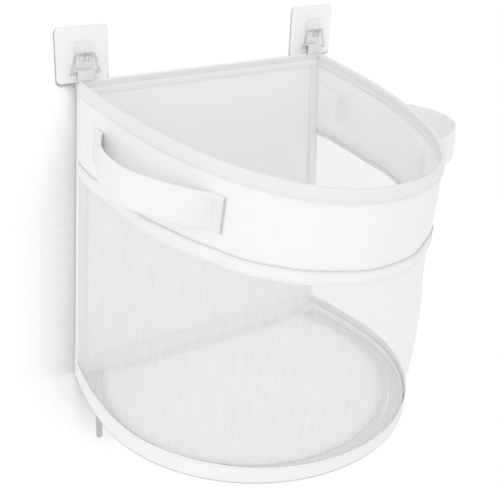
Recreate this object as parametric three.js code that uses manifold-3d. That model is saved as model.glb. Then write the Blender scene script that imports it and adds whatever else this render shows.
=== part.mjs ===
// A wall-hung bath toy organizer: a white fabric and net bag with a D-shaped mouth, two side
// handles, a zipped drop-open floor and two rings that hang on clear adhesive wall hooks.
// Millimetres. +Z is up, +Y points into the wall, +X is to the right as seen from the room.
// The origin lies on the wall, midway between the two hooks and level with their cradles.

import * as THREE from 'three';
import { mergeVertices } from 'three/addons/utils/BufferGeometryUtils.js';
import Module from 'manifold-3d';

const wasm = await Module();
wasm.setup();

// Fits
const CLEAR = 0.3;                // gap between sewn or seated pieces
const RUN_CLEAR = 0.4;            // gap round the zip slider and the floor flap's edge

// Bag outline
const RIM_WIDTH = 300;            // mouth, along the wall
const RIM_DEPTH = 318;            // mouth, from the back to the front
const RIM_ROUNDNESS = 2.3;        // exponent of the mouth's rounded outline
const RIM_FALL = 25;              // the front of the mouth hangs this much lower than the back
const BAG_HEIGHT = 345;           // back edge, from the mouth to the floor
const FLOOR_WIDTH = 359;          // across the floor's widest line
const FLOOR_WIDEST = 104.6;       // from the back to that line
const FLOOR_FRONT = 177;          // from that line to the front: half an ellipse
const FLOOR_BACK = 291;           // half axis of the slimmer ellipse behind that line
const WAIST_DROP = 100;           // depth of the fabric band below the mouth

// Cloth
const FABRIC = 2;                 // laminated fabric of the band and the back panel
const NET = 0.8;                  // net wall
const TAPE = 0.8;                 // binding tape
const RIM_TAPE = 14;              // width of the tape legs round the mouth
const WAIST_TAPE = 15;            // width of the tape where band and net meet
const WAIST_SEAM = 8;             // the band ends this far above the tape's lower edge
const FLOOR_TAPE = 20;            // outer leg of the tape round the floor edge
const FLOOR_TAPE_IN = 10;         // inner leg of that tape
const SIDE_TAPE = 12;             // width of the corner seam tapes
const WIRE = 2;                   // diameter of the mouth's wire
const WIRE_TUNNEL = 4;            // height of the tape's empty fold that holds the wire

// Handles
const HANDLE_WIDTH = 34;
const STRAP = 1.8;
const HANDLE_DROP = 32;           // top edge of the straps below the mouth
const HANDLE_BACK = 56;           // sewn ends, measured from the back of the bag
const HANDLE_FRONT = 212;
const LEFT_BOW = 30;              // how far each strap stands off the band where it is fullest
const RIGHT_BOW = 66;
const LEFT_RISE = 4;              // how far each strap is tipped up there
const RIGHT_RISE = 3;
const LEFT_LEAN = 1;              // over 1, a strap is fullest nearer its front end
const RIGHT_LEAN = 1.3;
const HANDLE_FULLNESS = 0.75;     // below 1, the straps leave their sewn ends more steeply
const HANDLE_SEWN = 16;           // length of each sewn end
const HANDLE_HINGE = 14;          // the strap bends this far in from the end of the sewing

// Wall hooks
const PAD = 58;
const PAD_CORNER = 5;
const PAD_THICK = 1.3;
const ADHESIVE = 0.5;
const ADHESIVE_MARGIN = 1;
const BOSS_WIDTH = 20;
const BOSS_HEIGHT = 28;
const BOSS_CORNER = 4;
const BOSS_DEPTH = 3.2;
const THROAT = 6;                 // free width between the boss and the foot of the hook's tip
const TIP_RISE = 5;               // the tip leans outwards at 45 degrees over this height
const TIP_THICK = 2.6;
const ARM_HEIGHT = 5;
const RIB_WIDTH = 3.6;            // the hook has two ribs
const RIB_SPACING = 5.2;

// Rings and tabs
const TAB_INSET = 7;              // from the mouth's corner to the middle of a tab
const RING_BASE = 34;
const RING_TOP = 22;
const RING_HEIGHT = 22;
const RING_BAR = 3;
const RING_THICK = 2.6;
const TAB_WIDTH = 18;
const TAB_RISE = 8;               // from the mouth's back edge to the ring's lower bar
const TAB_TAIL = 16;              // sewn length down the outside of the back panel
const WEBBING = 0.9;

// Zip
const ZIP_CENTRE = 92;            // from the back to the centre of the zip's circle
const ZIP_MARGIN = 8;             // least width of the tape between that circle and the floor's edge
const ZIP_PART = 1.6;             // parting line between the two halves
const ZIP_TAPE_WIDTH = 12.4;      // tape on the flap
const COIL_WIDTH = 2.4;
const COIL_HEIGHT = 1.8;
const COIL_END = 112;             // the coils end this many degrees either side of the front
const STOP_LENGTH = 4;
const FLAP = 1.2;                 // floor panel
const FLAP_SEAM = 6;              // overlap of the panel and its zip tape
const HINGE_STRIP = 14;
const SLIDER_ANGLE = -100;        // parked beside the left back corner, in degrees from the front
const SLIDER_LENGTH = 11;
const SLIDER_WIDTH = 7.2;
const SLIDER_PLATE = 1.2;
const BRIDGE_SPAN = 7.6;
const BRIDGE_BAR = 1;
const BRIDGE_WIDTH = 1.6;
const PULL_LENGTH = 37;
const PULL_WIDTH = 7;
const PULL_THICK = 1.2;
const PULL_EYE = 4.8;             // outside width of the eye

const WALL_STEPS = 60;
const NET_LEVELS = 4;
const FLOOR_STEPS = 48;

// Places that follow from the sizes
const padFace = -(ADHESIVE + PAD_THICK);
const bossFace = padFace - BOSS_DEPTH;
const backY = bossFace - THROAT / 2;
const fabricFace = FABRIC / 2 + CLEAR;
const tapeFace = fabricFace + TAPE;
const wallY = backY - tapeFace - CLEAR;
const ringTopZ = CLEAR + RING_BAR / 2;
const ringBaseZ = ringTopZ - RING_HEIGHT + RING_BAR;
const mouthZ = ringBaseZ - TAB_RISE;
const floorZ = mouthZ - BAG_HEIGHT;
const floorWidestY = wallY - FLOOR_WIDEST;
const floorHalf = (FLOOR_WIDTH / 2) * Math.sqrt(1 - (FLOOR_WIDEST / FLOOR_BACK) ** 2);
const zipCentreY = wallY - ZIP_CENTRE;
const zipTop = floorZ - TAPE - 3 * CLEAR;
const zipUnder = zipTop - TAPE;
const coilTop = zipUnder - CLEAR;
const coilUnder = coilTop - COIL_HEIGHT;
const fixedEdge = FLOOR_WIDTH / 2 - ZIP_MARGIN - NET;
const flapEdge = fixedEdge - ZIP_PART;
const flapTapeInner = flapEdge - ZIP_TAPE_WIDTH;
const panelRadius = flapTapeInner + FLAP_SEAM;

// Materials
const cloth = (color, roughness) => new THREE.MeshStandardMaterial({ color, roughness, metalness: 0 });
const FABRIC_WHITE = 0xf2f2f1;
const TAPE_WHITE = 0xf7f7f6;
const NET_WHITE = 0xf4f4f6;
const CLEAR_PLASTIC = 0xeff1f2;
const ZIP_WHITE = 0xeeeeee;
const STEEL = 0xb9bbbd;
const plastic = () => new THREE.MeshStandardMaterial({
  color: CLEAR_PLASTIC, roughness: 0.15, metalness: 0, transparent: true, opacity: 0.6,
});
const metal = () => new THREE.MeshStandardMaterial({ color: STEEL, roughness: 0.35, metalness: 1 });

const organizer = new THREE.Group();

function piece(name, geometry, material) {
  const mesh = new THREE.Mesh(geometry, material);
  mesh.name = name;
  organizer.add(mesh);
  return mesh;
}

// The triangles that close the end of a loft, all turned the same way as the section's corners.
function endTriangles(section) {
  const contour = section.map(([across, along]) => new THREE.Vector2(across, along));
  const turn = Math.sign(THREE.ShapeUtils.area(contour));
  return THREE.ShapeUtils.triangulateShape(contour, []).map(([a, b, c]) => {
    const area = THREE.ShapeUtils.area([contour[a], contour[b], contour[c]]);
    return Math.sign(area) === turn ? [a, b, c] : [a, c, b];
  });
}

// A closed body through rings of points; each ring is the same section, a list of 2-D corners.
function loft(rings, section, cap = endTriangles(section)) {
  const count = section.length;
  const points = rings.flat().flatMap((point) => point.toArray());
  const last = (rings.length - 1) * count;
  const faces = [];
  for (const [a, b, c] of cap) {
    faces.push([a, c, b], [last + a, last + b, last + c]);
  }
  for (let ring = 0; ring < rings.length - 1; ring += 1) {
    for (let corner = 0; corner < count; corner += 1) {
      const a = ring * count + corner;
      const b = ring * count + ((corner + 1) % count);
      faces.push([a, b, b + count], [a, b + count, a + count]);
    }
  }
  const geometry = new THREE.BufferGeometry();
  geometry.setAttribute('position', new THREE.Float32BufferAttribute(points, 3));
  const inward = volume(points, faces) < 0;
  geometry.setIndex(faces.flatMap(([a, b, c]) => (inward ? [a, c, b] : [a, b, c])));
  geometry.computeVertexNormals();
  return geometry;
}

function volume(points, faces) {
  const corner = (index) => new THREE.Vector3().fromArray(points, 3 * index);
  return faces.reduce((sum, [a, b, c]) => sum + corner(a).dot(corner(b).cross(corner(c))) / 6, 0);
}

function toSolid(geometry) {
  const bare = geometry.clone();
  bare.deleteAttribute('normal');
  bare.deleteAttribute('uv');
  const merged = mergeVertices(bare, 1e-4);
  return new wasm.Manifold(new wasm.Mesh({
    numProp: 3,
    vertProperties: new Float32Array(merged.attributes.position.array),
    triVerts: new Uint32Array(merged.index.array),
  }));
}

function join(geometries) {
  const solid = geometries.map(toSolid).reduce((whole, next) => whole.add(next));
  const mesh = solid.getMesh();
  const geometry = new THREE.BufferGeometry();
  geometry.setAttribute('position', new THREE.Float32BufferAttribute(mesh.vertProperties, 3));
  geometry.setIndex(Array.from(mesh.triVerts));
  geometry.computeVertexNormals();
  return geometry;
}

function box([lowX, highX], [lowY, highY], [lowZ, highZ]) {
  const geometry = new THREE.BoxGeometry(highX - lowX, highY - lowY, highZ - lowZ);
  return geometry.translate((lowX + highX) / 2, (lowY + highY) / 2, (lowZ + highZ) / 2);
}

function roundedRectangle(width, height, corner) {
  const x = width / 2;
  const z = height / 2;
  const shape = new THREE.Shape();
  shape.absarc(x - corner, z - corner, corner, 0, Math.PI / 2);
  shape.absarc(corner - x, z - corner, corner, Math.PI / 2, Math.PI);
  shape.absarc(corner - x, corner - z, corner, Math.PI, 1.5 * Math.PI);
  shape.absarc(x - corner, corner - z, corner, 1.5 * Math.PI, 2 * Math.PI);
  return shape;
}

// A flat plate: its outline is drawn in X and Z, and it is thick from its back face towards the room.
function plate(shape, backFace, thickness, curveSegments = 4) {
  const geometry = new THREE.ExtrudeGeometry(shape, { depth: thickness, bevelEnabled: false, curveSegments });
  return geometry.rotateX(Math.PI / 2).translate(0, backFace, 0);
}

// A bar along X whose section is drawn in Y and Z.
function barAlongX(section, fromX, toX) {
  const ring = (x) => section.map(([y, z]) => new THREE.Vector3(x, y, z));
  return loft([ring(fromX), ring(toX)], section);
}

// The bag's outlines: evenly spaced points from the right back corner round the front to the left.
function evenly(points, count) {
  const run = [0];
  for (let index = 1; index < points.length; index += 1) {
    run.push(run[index - 1] + points[index].distanceTo(points[index - 1]));
  }
  const result = [];
  let segment = 0;
  for (let index = 0; index <= count; index += 1) {
    const target = (run.at(-1) * index) / count;
    while (segment < run.length - 2 && run[segment + 1] < target) segment += 1;
    const share = (target - run[segment]) / (run[segment + 1] - run[segment]);
    result.push(points[segment].clone().lerp(points[segment + 1], share));
  }
  return result;
}

const OUTLINE_POINTS = 480;
const FINE_POINTS = 2 * OUTLINE_POINTS;
const outlineSteps = Array.from({ length: FINE_POINTS + 1 }, (_, index) => index / FINE_POINTS);
const cornerAngle = Math.asin(FLOOR_WIDEST / FLOOR_BACK);
const rimOutline = evenly(outlineSteps.map((share) => {
  const angle = Math.PI * share;
  const across = Math.sign(Math.cos(angle)) * Math.abs(Math.cos(angle)) ** (2 / RIM_ROUNDNESS);
  const out = Math.abs(Math.sin(angle)) ** (2 / RIM_ROUNDNESS);
  return new THREE.Vector2((across * RIM_WIDTH) / 2, wallY - out * RIM_DEPTH);
}), OUTLINE_POINTS);
const floorOutline = evenly(outlineSteps.map((share) => {
  const angle = cornerAngle - (Math.PI + 2 * cornerAngle) * share;
  const out = Math.sin(angle) * (Math.sin(angle) > 0 ? FLOOR_BACK : FLOOR_FRONT);
  return new THREE.Vector2((FLOOR_WIDTH / 2) * Math.cos(angle), floorWidestY + out);
}), OUTLINE_POINTS);

function along(outline, share) {
  const place = THREE.MathUtils.clamp(share, 0, 1) * OUTLINE_POINTS;
  const index = Math.min(Math.floor(place), OUTLINE_POINTS - 1);
  return outline[index].clone().lerp(outline[index + 1], place - index);
}

// The wall's middle surface: share runs along the outline, drop is the depth below the mouth.
function wallPoint(share, drop) {
  const fall = drop / BAG_HEIGHT;
  const rim = along(rimOutline, share);
  const plan = rim.clone().lerp(along(floorOutline, share), fall);
  const lower = (RIM_FALL * (wallY - rim.y)) / RIM_DEPTH;
  return new THREE.Vector3(plan.x, plan.y, mouthZ - lower * (1 - fall) - drop);
}

const STEP_SHARE = 1 / OUTLINE_POINTS;
function wallNormal(share, drop) {
  const before = wallPoint(Math.max(share - STEP_SHARE, 0), drop);
  const after = wallPoint(Math.min(share + STEP_SHARE, 1), drop);
  const down = wallPoint(share, drop + 1).sub(wallPoint(share, drop));
  return after.sub(before).cross(down).normalize();
}

// The ends of the wall pieces are flat against the back, so there the offset stays in that plane.
function wallOffset(share, drop, offset) {
  const normal = wallNormal(share, drop);
  if (share === 0 || share === 1) {
    normal.setY(0);
    normal.divideScalar(normal.lengthSq());
  }
  return wallPoint(share, drop).addScaledVector(normal, offset);
}

// Sweeps a section of [offset from the wall, drop] corners round the whole wall.
function sweepWall(section, cap) {
  const rings = [];
  for (let step = 0; step <= WALL_STEPS; step += 1) {
    rings.push(section.map(([offset, drop]) => wallOffset(step / WALL_STEPS, drop, offset)));
  }
  return loft(rings, section, cap);
}

// A strip of cloth: thick from one offset to another, between two drops.
const strip = (inner, outer, top, bottom) => [[inner, top], [outer, top], [outer, bottom], [inner, bottom]];

// A tall sheet: the outer face goes down in equal levels and the inner face comes back up.
function sweepTallSheet(half, top, bottom, levels) {
  const drops = Array.from({ length: levels + 1 }, (_, level) => top + ((bottom - top) * level) / levels);
  const back = drops.toReversed();
  const section = [...drops.map((drop) => [half, drop]), ...back.map((drop) => [-half, drop])];
  const cap = drops.slice(1).flatMap((_, level) => {
    const opposite = section.length - 1 - level;
    return [[level, level + 1, opposite - 1], [level, opposite - 1, opposite]];
  });
  return sweepWall(section, cap);
}

// A tape folded over an edge at the given drop, with its legs on both faces.
function fold(face, edge, outerLeg, innerLeg, direction) {
  const outer = face + TAPE;
  return [
    [outer, edge + direction * outerLeg], [outer, edge - direction * TAPE],
    [-outer, edge - direction * TAPE], [-outer, edge + direction * innerLeg],
    [-face, edge + direction * innerLeg], [-face, edge], [face, edge], [face, edge + direction * outerLeg],
  ];
}

// Fabric band, net wall and the tapes sewn round them
const bandEnd = WAIST_DROP - WAIST_SEAM;
const netFace = NET / 2 + CLEAR;
const wireSection = Array.from({ length: 8 }, (_, index) => {
  const angle = (Math.PI * index) / 4;
  return [(WIRE / 2) * Math.cos(angle), CLEAR + (WIRE / 2) * (1 + Math.sin(angle))];
});
piece('band', sweepWall(strip(-FABRIC / 2, FABRIC / 2, WIRE_TUNNEL, bandEnd)), cloth(FABRIC_WHITE, 0.9));
piece('rim_binding', sweepWall(fold(fabricFace, 0, RIM_TAPE, RIM_TAPE, 1)), cloth(TAPE_WHITE, 0.85));
piece('rim_wire', sweepWall(wireSection), metal());
piece('waist_binding', sweepWall(strip(fabricFace, tapeFace, WAIST_DROP - WAIST_TAPE, WAIST_DROP)),
  cloth(TAPE_WHITE, 0.85));
piece('net_wall', sweepTallSheet(NET / 2, bandEnd + CLEAR, BAG_HEIGHT, NET_LEVELS), cloth(NET_WHITE, 0.95));
piece('floor_binding', sweepWall(fold(netFace, BAG_HEIGHT + CLEAR, FLOOR_TAPE, FLOOR_TAPE_IN, -1)),
  cloth(TAPE_WHITE, 0.85));

// Back panel, its hems and the corner seam tapes
const backHalf = (drop) => THREE.MathUtils.lerp(RIM_WIDTH / 2, floorHalf, drop / BAG_HEIGHT) + tapeFace;
function backSheet(near, far, insideHalf, outsideHalf, top, bottom) {
  const ring = (drop) => [[insideHalf, near], [outsideHalf, near], [outsideHalf, far], [insideHalf, far]]
    .map(([half, y]) => new THREE.Vector3(half(drop), y, mouthZ - drop));
  return loft([ring(top), ring(bottom)], [[0, 0], [1, 0], [1, 1], [0, 1]]);
}
piece('back_panel', backSheet(backY - FABRIC / 2, backY + FABRIC / 2, (drop) => -backHalf(drop), backHalf,
  WIRE_TUNNEL, BAG_HEIGHT), cloth(FABRIC_WHITE, 0.9));
const foldAlongX = (edge, leg, direction, half) => barAlongX(
  fold(fabricFace, edge, leg, leg, direction).map(([offset, drop]) => [backY + offset, mouthZ - drop]),
  -half, half,
);
piece('back_top_binding', foldAlongX(0, RIM_TAPE, 1, backHalf(0)), cloth(TAPE_WHITE, 0.85));
piece('back_rod', barAlongX(wireSection.map(([offset, drop]) => [backY + offset, mouthZ - drop]),
  -backHalf(0), backHalf(0)), metal());
piece('back_hem', foldAlongX(BAG_HEIGHT + CLEAR, FLOOR_TAPE, -1, backHalf(BAG_HEIGHT)),
  cloth(TAPE_WHITE, 0.85));
const seamFront = backY - tapeFace;
const seamBack = backY - fabricFace;
for (const [side, sign] of [['left', -1], ['right', 1]]) {
  piece(`${side}_side_tape`, backSheet(seamFront, seamBack,
    (drop) => sign * (backHalf(drop) - SIDE_TAPE), (drop) => sign * backHalf(drop),
    RIM_TAPE + CLEAR, BAG_HEIGHT - FLOOR_TAPE), cloth(TAPE_WHITE, 0.85));
}

// Side handles: each strap lies in planes square to the line between its two sewn ends.
function find(test, low, high) {
  let from = low;
  let to = high;
  for (let round = 0; round < 40; round += 1) {
    const middle = (from + to) / 2;
    if (test(middle) < 0) from = middle;
    else to = middle;
  }
  return (from + to) / 2;
}
const FRONT_SHARE = 0.5;
const handleBottom = HANDLE_DROP + HANDLE_WIDTH;
function bandFace(share, drop) {
  return wallPoint(share, drop).addScaledVector(wallNormal(share, drop), FABRIC / 2);
}
function handle(side, backShare, bow, rise, lean) {
  const atDepth = (depth) => {
    const share = find((value) => bandFace(value, HANDLE_DROP).y + depth - wallY, FRONT_SHARE, backShare);
    return bandFace(share, HANDLE_DROP);
  };
  const start = atDepth(HANDLE_BACK);
  const end = atDepth(HANDLE_FRONT);
  const span = start.distanceTo(end);
  const chord = end.clone().sub(start).divideScalar(span);
  const outward = new THREE.Vector3(-chord.y, chord.x, 0).normalize();
  if (outward.x * start.x < 0) outward.negate();
  const down = new THREE.Vector3().crossVectors(outward, chord);
  if (down.z > 0) down.negate();
  const reach = (place, drop) => {
    const ahead = (value) => place - bandFace(value, drop).sub(start).dot(chord);
    const share = find(ahead, FRONT_SHARE, backShare);
    return bandFace(share, drop).sub(start).dot(outward) + CLEAR;
  };
  const ring = (place) => {
    const inside = place > 0 && place < span;
    const swell = inside ? Math.sin(Math.PI * (place / span) ** lean) ** HANDLE_FULLNESS : 0;
    const corner = (out, low) => start.clone().addScaledVector(chord, place)
      .addScaledVector(outward, out).addScaledVector(down, low - rise * swell);
    const top = reach(place, HANDLE_DROP) + bow * swell;
    const bottom = reach(place, handleBottom) + bow * swell;
    return [corner(top, 0), corner(top + STRAP, 0),
      corner(bottom + STRAP, HANDLE_WIDTH), corner(bottom, HANDLE_WIDTH)];
  };
  const section = [[0, 0], [STRAP, 0], [STRAP, HANDLE_WIDTH], [0, HANDLE_WIDTH]];
  const run = (name, from, to, steps) => {
    const rings = [];
    for (let step = 0; step <= steps; step += 1) rings.push(ring(from + ((to - from) * step) / steps));
    piece(`${side}_handle_${name}`, loft(rings, section), cloth(FABRIC_WHITE, 0.9));
  };
  const cut = CLEAR / 2;
  run('back_end', -HANDLE_SEWN, HANDLE_HINGE - cut, 10);
  run('grip', HANDLE_HINGE + cut, span - HANDLE_HINGE - cut, 24);
  run('front_end', span - HANDLE_HINGE + cut, span + HANDLE_SEWN, 10);
}
handle('left', 1, LEFT_BOW, LEFT_RISE, LEFT_LEAN);
handle('right', 0, RIGHT_BOW, RIGHT_RISE, RIGHT_LEAN);

// Wall hooks: a sheet of adhesive, a clear pad and a moulded hook with two ribs.
const hookX = (sign) => sign * (RIM_WIDTH / 2 - TAB_INSET);
const tipFoot = bossFace - THROAT;
const tipEnd = tipFoot - TIP_RISE;
const tipLean = TIP_THICK * Math.SQRT1_2;
const ribSection = [
  [bossFace + CLEAR, 0], [tipFoot, 0], [tipEnd, TIP_RISE], [tipEnd - tipLean, TIP_RISE - tipLean],
  [tipFoot - tipLean + CLEAR, -ARM_HEIGHT], [bossFace + CLEAR, -ARM_HEIGHT],
];
for (const [side, sign] of [['left', -1], ['right', 1]]) {
  const middle = hookX(sign);
  const sheet = PAD - 2 * ADHESIVE_MARGIN;
  piece(`${side}_adhesive`, plate(roundedRectangle(sheet, sheet, PAD_CORNER), 0, ADHESIVE),
    plastic()).position.setX(middle);
  piece(`${side}_pad`, plate(roundedRectangle(PAD, PAD, PAD_CORNER), -ADHESIVE, PAD_THICK),
    plastic()).position.setX(middle);
  const rib = (place) => barAlongX(ribSection, place - RIB_WIDTH / 2, place + RIB_WIDTH / 2);
  piece(`${side}_hook`, join([
    plate(roundedRectangle(BOSS_WIDTH, BOSS_HEIGHT, BOSS_CORNER), padFace, BOSS_DEPTH),
    rib(-RIB_SPACING / 2),
    rib(RIB_SPACING / 2),
  ]), plastic()).position.setX(middle);
}

// Hanging rings and the webbing tabs that hold them
function ringShape(base, top, height) {
  const shape = new THREE.Shape();
  shape.moveTo(-base / 2, 0);
  shape.lineTo(base / 2, 0);
  shape.lineTo(top / 2, height);
  shape.lineTo(-top / 2, height);
  shape.closePath();
  return shape;
}
const sideLean = (RING_BASE - RING_TOP) / 2 / RING_HEIGHT;
const barAcross = RING_BAR * Math.hypot(1, sideLean);
const innerHalf = (height) => RING_BASE / 2 - sideLean * height - barAcross;
const eye = new THREE.Path([
  new THREE.Vector2(-innerHalf(RING_BAR), RING_BAR),
  new THREE.Vector2(innerHalf(RING_BAR), RING_BAR),
  new THREE.Vector2(innerHalf(RING_HEIGHT - RING_BAR), RING_HEIGHT - RING_BAR),
  new THREE.Vector2(-innerHalf(RING_HEIGHT - RING_BAR), RING_HEIGHT - RING_BAR),
]);
const loopInner = Math.max(Math.hypot(RING_BAR, RING_THICK) / 2 + CLEAR, tapeFace + CLEAR);
const loopOuter = loopInner + WEBBING;
const LOOP_STEPS = 8;
const arc = (radius, direction) => Array.from({ length: LOOP_STEPS + 1 }, (_, index) => {
  const angle = (Math.PI * (direction > 0 ? index : LOOP_STEPS - index)) / LOOP_STEPS;
  return [backY + radius * Math.cos(angle), ringBaseZ + radius * Math.sin(angle)];
});
const tabFront = mouthZ + TAPE + CLEAR;
const tabSection = [
  [backY + loopOuter, mouthZ - TAB_TAIL], ...arc(loopOuter, 1), [backY - loopOuter, tabFront],
  [backY - loopInner, tabFront], ...arc(loopInner, -1), [backY + loopInner, mouthZ - TAB_TAIL],
];
for (const [side, sign] of [['left', -1], ['right', 1]]) {
  const middle = hookX(sign);
  const outline = ringShape(RING_BASE, RING_TOP, RING_HEIGHT);
  outline.holes.push(eye);
  piece(`${side}_ring`, plate(outline, backY + RING_THICK / 2, RING_THICK), plastic())
    .position.set(middle, 0, ringBaseZ - RING_BAR / 2);
  piece(`${side}_tab`, barAlongX(tabSection, middle - TAB_WIDTH / 2, middle + TAB_WIDTH / 2),
    cloth(TAPE_WHITE, 0.85));
}

// Floor: a zip round the curved edge; the flap hangs on the back hem.
const flapBack = seamFront - CLEAR;
const endAtBack = (radius) => Math.acos((zipCentreY - flapBack) / radius);
const endAtCoil = () => THREE.MathUtils.degToRad(COIL_END);
function sweepFloor(section, endAngle) {
  const rings = [];
  for (let step = 0; step <= FLOOR_STEPS; step += 1) {
    rings.push(section.map(([radius, z]) => {
      const angle = endAngle(radius) * ((2 * step) / FLOOR_STEPS - 1);
      return new THREE.Vector3(radius * Math.sin(angle), zipCentreY - radius * Math.cos(angle), z);
    }));
  }
  return loft(rings, section);
}
// The fixed tape fills the floor between the zip's circle and the net's outer face.
function fixedTape() {
  const section = strip(fixedEdge, FLOOR_WIDTH / 2 + NET, zipTop, zipUnder);
  const rings = [];
  for (let step = 0; step <= WALL_STEPS; step += 1) {
    const share = step / WALL_STEPS;
    const edge = wallOffset(share, BAG_HEIGHT, NET);
    const angle = endAtBack(fixedEdge) * (1 - 2 * share);
    const inner = [fixedEdge * Math.sin(angle), zipCentreY - fixedEdge * Math.cos(angle)];
    rings.push(section.map(([radius, z]) => (radius === fixedEdge
      ? new THREE.Vector3(inner[0], inner[1], z)
      : new THREE.Vector3(edge.x, edge.y, z))));
  }
  return loft(rings, section);
}
piece('zip_tape_fixed', fixedTape(), cloth(ZIP_WHITE, 0.9));
piece('zip_coil_fixed', sweepFloor(strip(fixedEdge, fixedEdge + COIL_WIDTH, coilTop, coilUnder), endAtCoil),
  cloth(ZIP_WHITE, 0.5));
piece('zip_tape_flap', sweepFloor(strip(flapTapeInner, flapEdge, zipTop, zipUnder), endAtBack),
  cloth(ZIP_WHITE, 0.9));
piece('zip_coil_flap', sweepFloor(strip(flapEdge - COIL_WIDTH, flapEdge, coilTop, coilUnder), endAtCoil),
  cloth(ZIP_WHITE, 0.5));

const panelAngle = endAtBack(panelRadius);
const panelOutline = new THREE.Shape();
panelOutline.absarc(0, 0, panelRadius, -Math.PI / 2 - panelAngle, -Math.PI / 2 + panelAngle);
const panelGeometry = new THREE.ExtrudeGeometry(panelOutline,
  { depth: FLAP, bevelEnabled: false, curveSegments: FLOOR_STEPS });
piece('floor_panel', panelGeometry.translate(0, zipCentreY, zipTop + CLEAR), cloth(FABRIC_WHITE, 0.9));
const stripHalf = flapTapeInner * Math.sin(endAtBack(flapTapeInner)) - CLEAR;
piece('floor_hinge_strip',
  box([-stripHalf, stripHalf], [flapBack - HINGE_STRIP, flapBack], [zipUnder, zipTop]),
  cloth(TAPE_WHITE, 0.85));

// Zip hardware, made at the front of the floor circle and turned to its place.
const coilMiddle = -(fixedEdge + COIL_WIDTH / 2);
const coilGroup = (degrees) => {
  const group = new THREE.Group();
  group.position.setY(zipCentreY);
  group.rotation.z = THREE.MathUtils.degToRad(degrees);
  organizer.add(group);
  return group;
};
const stopAngle = COIL_END + THREE.MathUtils.radToDeg((STOP_LENGTH / 2 + CLEAR) / fixedEdge);
for (const [side, sign] of [['left', -1], ['right', 1]]) {
  const geometry = box([-STOP_LENGTH / 2, STOP_LENGTH / 2],
    [coilMiddle - COIL_WIDTH / 2, coilMiddle + COIL_WIDTH / 2], [coilUnder, coilTop]);
  coilGroup(sign * stopAngle).add(piece(`${side}_zip_stop`, geometry, metal()));
}

const sliderInner = -(fixedEdge - ZIP_PART / 2 - RUN_CLEAR);
const sliderOuter = sliderInner - SLIDER_WIDTH;
const sliderMiddle = (sliderInner + sliderOuter) / 2;
const sliderHalf = SLIDER_LENGTH / 2;
const webOuter = -(fixedEdge - RUN_CLEAR);
const plateTop = coilUnder - RUN_CLEAR;
const plateUnder = plateTop - SLIDER_PLATE;
const upperUnder = zipTop + RUN_CLEAR;
const pivotZ = plateUnder - PULL_THICK / 2 - 2 * RUN_CLEAR;
const bridgeTop = pivotZ - PULL_THICK / 2 - RUN_CLEAR;
const bridgeUnder = bridgeTop - BRIDGE_BAR;
const bridgeY = [sliderMiddle - BRIDGE_WIDTH / 2, sliderMiddle + BRIDGE_WIDTH / 2];
const post = (sign) => box(
  [sign > 0 ? BRIDGE_SPAN / 2 - BRIDGE_BAR : -BRIDGE_SPAN / 2,
    sign > 0 ? BRIDGE_SPAN / 2 : BRIDGE_BAR - BRIDGE_SPAN / 2],
  bridgeY, [bridgeUnder, plateTop - SLIDER_PLATE / 2],
);
const slider = piece('zip_slider', join([
  box([-sliderHalf, sliderHalf], [sliderOuter, sliderInner], [plateUnder, plateTop]),
  box([-sliderHalf, sliderHalf], [sliderOuter, sliderInner], [upperUnder, upperUnder + SLIDER_PLATE]),
  box([-sliderHalf, sliderHalf], [webOuter, sliderInner],
    [plateUnder, upperUnder + SLIDER_PLATE]),
  post(-1),
  post(1),
  box([-BRIDGE_SPAN / 2, BRIDGE_SPAN / 2], bridgeY, [bridgeUnder, bridgeTop]),
]), metal());
coilGroup(SLIDER_ANGLE).add(slider);

// Pull tab: its eye hangs on the slider's bridge.
const eyeBar = (PULL_EYE - BRIDGE_WIDTH - 2 * RUN_CLEAR - CLEAR) / 2;
const eyeLength = BRIDGE_SPAN / 2 + BRIDGE_BAR + RUN_CLEAR;
const shoulder = -eyeLength - eyeBar;
const pullShape = new THREE.Shape();
pullShape.moveTo(-PULL_EYE / 2, PULL_THICK / 2);
pullShape.lineTo(-PULL_EYE / 2, shoulder);
pullShape.lineTo(-PULL_WIDTH / 2, shoulder - PULL_WIDTH / 2);
pullShape.absarc(0, PULL_WIDTH / 2 - PULL_LENGTH, PULL_WIDTH / 2, Math.PI, 2 * Math.PI);
pullShape.lineTo(PULL_WIDTH / 2, shoulder - PULL_WIDTH / 2);
pullShape.lineTo(PULL_EYE / 2, shoulder);
pullShape.lineTo(PULL_EYE / 2, PULL_THICK / 2);
pullShape.closePath();
pullShape.holes.push(new THREE.Path([
  new THREE.Vector2(eyeBar - PULL_EYE / 2, -PULL_THICK / 2),
  new THREE.Vector2(PULL_EYE / 2 - eyeBar, -PULL_THICK / 2),
  new THREE.Vector2(PULL_EYE / 2 - eyeBar, -eyeLength),
  new THREE.Vector2(eyeBar - PULL_EYE / 2, -eyeLength),
]));
const pullPlate = plate(pullShape, PULL_THICK / 2, PULL_THICK, 6).rotateZ(Math.PI / 2);
const pull = piece('zip_pull', pullPlate, metal());
pull.position.set(0, sliderMiddle, pivotZ);
coilGroup(SLIDER_ANGLE).add(pull);

export default organizer;
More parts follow.
